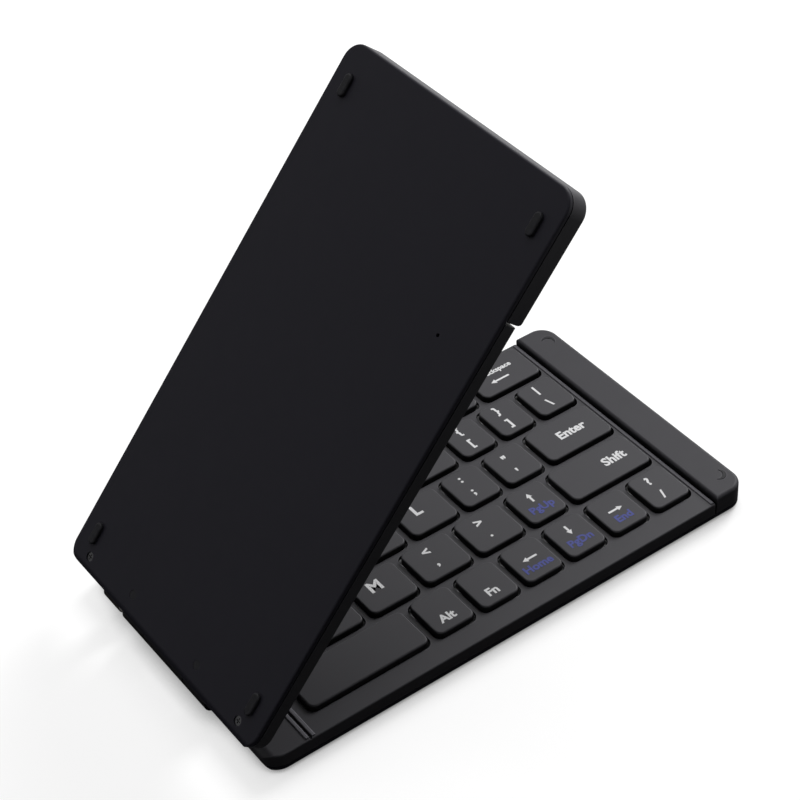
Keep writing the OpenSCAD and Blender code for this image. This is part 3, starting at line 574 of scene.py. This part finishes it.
def add_legends(node, legends):
    """One piece with all the legends of a node's keys."""
    place = LID if on_left_half(node) else BASE
    joined = bmesh.new()
    for (low, high), parts in zip(islands(node, place), legends):
        for mesh, (along, across), color in parts:
            at = Vector((low.x + along * (high.x - low.x), low.y + across * (high.y - low.y),
                         high.z + INK_LIFT))
            mesh.transform(place @ Matrix.Translation(at))
            first = len(joined.faces)
            joined.from_mesh(mesh)
            joined.faces.ensure_lookup_table()
            for face in joined.faces[first:]:
                face.material_index = color
    if not joined.faces:
        joined.free()
        return
    mesh = new_mesh("legends_" + node, joined)
    mesh.materials.append(WHITE_INK)
    mesh.materials.append(BLUE_INK)
    piece = new_object("legends_" + node, mesh)
    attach(piece, body_of_node[node])


for node_name, node_legends in LEGENDS.items():
    add_legends(node_name, node_legends)

# ---------------------------------------------------------------- guides in the key windows

WINDOW_GAP = 0.6 * MM
GUIDE_OUT = 0.38 * MM
GUIDE_LENGTH = 1.1 * MM
GUIDE_HEIGHT = 0.9 * MM
GUIDE_BELOW_KEY_TOP = 2.0 * MM

# Where a guide sits along a key, how far its top slopes down as a share of its height, and
# how far each of its ends draws in as a share of half its length.
GUIDE_ALONG = 0.8
GUIDE_SLOPE = 0.35
GUIDE_TAPER = 0.3
WEDGE_FACES = ((0, 1, 2, 3), (7, 6, 5, 4), (0, 4, 5, 1), (1, 5, 6, 2), (2, 6, 7, 3),
               (3, 7, 4, 0))
RIGHTWARDS, AWAY = Vector((1, 0, 0)), Vector((0, 1, 0))


def guide(shape, corner, along, out):
    """Small wedge on a window's wall, under a sloping top, for a key to slide along."""
    down = Vector((0, 0, -GUIDE_HEIGHT))
    slope = Vector((0, 0, -GUIDE_SLOPE * GUIDE_HEIGHT))
    points = []
    for end in (-0.5, 0.5):
        foot = corner + along * (end * GUIDE_LENGTH)
        tip = foot + out * GUIDE_OUT - along * (end * GUIDE_TAPER * GUIDE_LENGTH)
        points += [foot, tip + slope, tip + down, foot + down]
    verts = [shape.verts.new(point) for point in points]
    for face in WEDGE_FACES:
        shape.faces.new([verts[i] for i in face])


def add_guides(body, place, key_nodes):
    """One piece with a guide at the left and one at the front of each key of a half."""
    shape = bmesh.new()
    for node in key_nodes:
        for low, high in islands(node, place):
            z = high.z - GUIDE_BELOW_KEY_TOP
            left = Vector((low.x - WINDOW_GAP, low.y + GUIDE_ALONG * (high.y - low.y), z))
            front = Vector((low.x + GUIDE_ALONG * (high.x - low.x), low.y - WINDOW_GAP, z))
            guide(shape, left, AWAY, RIGHTWARDS)
            guide(shape, front, RIGHTWARDS, AWAY)
    bmesh.ops.recalc_face_normals(shape, faces=shape.faces)
    shape.transform(place)
    mesh = new_mesh(body + "_window_guides", shape)
    mesh.materials.append(GUIDE_PLASTIC)
    piece = new_object(body + "_window_guides", mesh)
    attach(piece, body)


add_guides("base", BASE, [node for node in LEGENDS if not on_left_half(node)])
add_guides("lid", LID, [node for node in LEGENDS if on_left_half(node)])

# ---------------------------------------------------------------- flexible cable


def add_flexible_cable():
    """A copy of the cable's solid, in place, stands in for the model's cable, which is hidden."""
    piece = new_object("flexible_cable", nodes["flex_cable"].data.copy())
    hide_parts("flex_cable")
    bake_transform(piece)


add_flexible_cable()

# ---------------------------------------------------------------- floor and world

FLOOR_SIZE = 6.0
PAPER_NOISE = (30, 3)
PAPER_LOW, PAPER_HIGH = grey(0.35), grey(0.37)
FLOOR_BOUNCE = grey(0.06)

# The white that the floor adds near the object, and the distances between which it grows
# to full white.
FLOOR_LIFT = 0.75
LIFT_GROWS = (0.22, 0.50)

# How near to the object, and at which openness, the floor loses its added white: a painted
# contact shadow.
SHADE_REACH = 8 * MM
SHADE_LIMITS = (0.0, 0.7)

# Where along X, and over which width, the floor that mirrors see turns from dark to pale.
CARD_EDGE = 0.08
CARD_FADE = 0.14
WORLD_LIGHT = 0.045


def seen_rays(tree):
    """Two masks: 1 for what the eye or a mirror sees, and 1 for what only the eye sees.

    The eye is the camera, also through clear plastic. Both are 0 for all other light.
    """
    path = add(tree, "ShaderNodeLightPath", {}).outputs
    eye = calculate(tree, "MAXIMUM", path["Is Camera Ray"], path["Is Transmission Ray"])
    return calculate(tree, "MAXIMUM", eye, path["Is Glossy Ray"]), eye


def floor_material():
    """Pale paper that adds white for the eye, keeps the object's shadow and paints a contact
    shadow next to it.

    It adds more white away from the object, so that it ends in white in low views. Mirrors
    see it pale past the right half's free end and dark elsewhere, as if a black card lay
    there.
    """
    material, tree, shader = new_material("floor_paper")
    spot = own_place(tree)
    x = add(tree, "ShaderNodeSeparateXYZ", {0: spot}).outputs["X"]
    past_card = map_range(tree, x, (CARD_EDGE, CARD_EDGE + CARD_FADE))
    seen, eye = seen_rays(tree)
    pale = calculate(tree, "MAXIMUM", eye, past_card)
    visible = calculate(tree, "MULTIPLY", seen, pale)
    paper = mix(tree, vary(tree, PAPER_NOISE), PAPER_LOW, PAPER_HIGH)
    distance = add(tree, "ShaderNodeVectorMath", {0: spot}, "LENGTH").outputs["Value"]
    white = map_range(tree, distance, LIFT_GROWS, (FLOOR_LIFT, 1))
    lift = calculate(tree, "MULTIPLY", visible, white)
    # Painted contact shadow: near the object the added white fades.
    clear = openness(tree, SHADE_REACH, SHADE_LIMITS)
    connect(tree, mix(tree, visible, FLOOR_BOUNCE, paper), shader.inputs["Base Color"])
    connect(tree, calculate(tree, "MULTIPLY", lift, clear), shader.inputs["Emission Strength"])
    shader.inputs["Emission Color"].default_value = FULL_WHITE
    shader.inputs["Roughness"].default_value = 1
    shader.inputs["Specular IOR Level"].default_value = 0
    return material


def add_floor():
    mesh = bpy.data.meshes.new("floor")
    half = FLOOR_SIZE / 2
    floor_z = cad_box[0][2]
    corners = [(-half, -half, floor_z), (half, -half, floor_z), (half, half, floor_z),
               (-half, half, floor_z)]
    mesh.from_pydata(corners, [], [(0, 1, 2, 3)])
    mesh.materials.append(floor_material())
    floor = new_object("floor", mesh)


def set_world():
    """White for the eye and for mirrors, and little light on the object."""
    world = bpy.data.worlds.new("studio")
    world.use_nodes = True
    tree = world.node_tree
    background = tree.nodes["Background"]
    background.inputs["Color"].default_value = FULL_WHITE
    seen, _ = seen_rays(tree)
    strength = map_range(tree, seen, (0, 1), (WORLD_LIGHT, 1))
    connect(tree, strength, background.inputs["Strength"])
    bpy.context.scene.world = world


add_floor()
set_world()

# ---------------------------------------------------------------- lights and camera

CAMERA_PLACE = Vector((-226.82, -340.51, 402.14)) * MM
CAMERA_LOOK = Vector((0.41456, 0.63198, -0.65478))
CAMERA_UP = Vector((0.41644, 0.50802, 0.75399))
CAMERA_ANGLE = 20.376
CAMERA_CLIP = 0.01


def area_light(name, place, target, size, power):
    data = bpy.data.lights.new(name, "AREA")
    data.shape = "DISK"
    data.size = size
    data.energy = power
    lamp = new_object(name, data)
    lamp.location = place
    lamp.rotation_euler = (Vector(target) - Vector(place)).to_track_quat("-Z", "Y").to_euler()


def add_camera():
    data = bpy.data.cameras.new("camera")
    data.sensor_fit = "HORIZONTAL"
    data.angle = math.radians(CAMERA_ANGLE)
    data.clip_start = CAMERA_CLIP
    camera = new_object("camera", data)
    axes = Matrix((CAMERA_LOOK.cross(CAMERA_UP), CAMERA_UP, -CAMERA_LOOK)).transposed()
    camera.matrix_world = Matrix.Translation(CAMERA_PLACE) @ axes.to_4x4()
    bpy.context.scene.camera = camera


area_light("softbox_above", place=(0.15, 0.50, 1.30), target=(0, 0, 0), size=1.6, power=11.5)
area_light("softbox_right", place=(1.1, 0.40, 0.75), target=(0, 0, 0.05), size=0.6, power=15.5)
add_camera()
bpy.context.scene.view_settings.view_transform = "Standard"
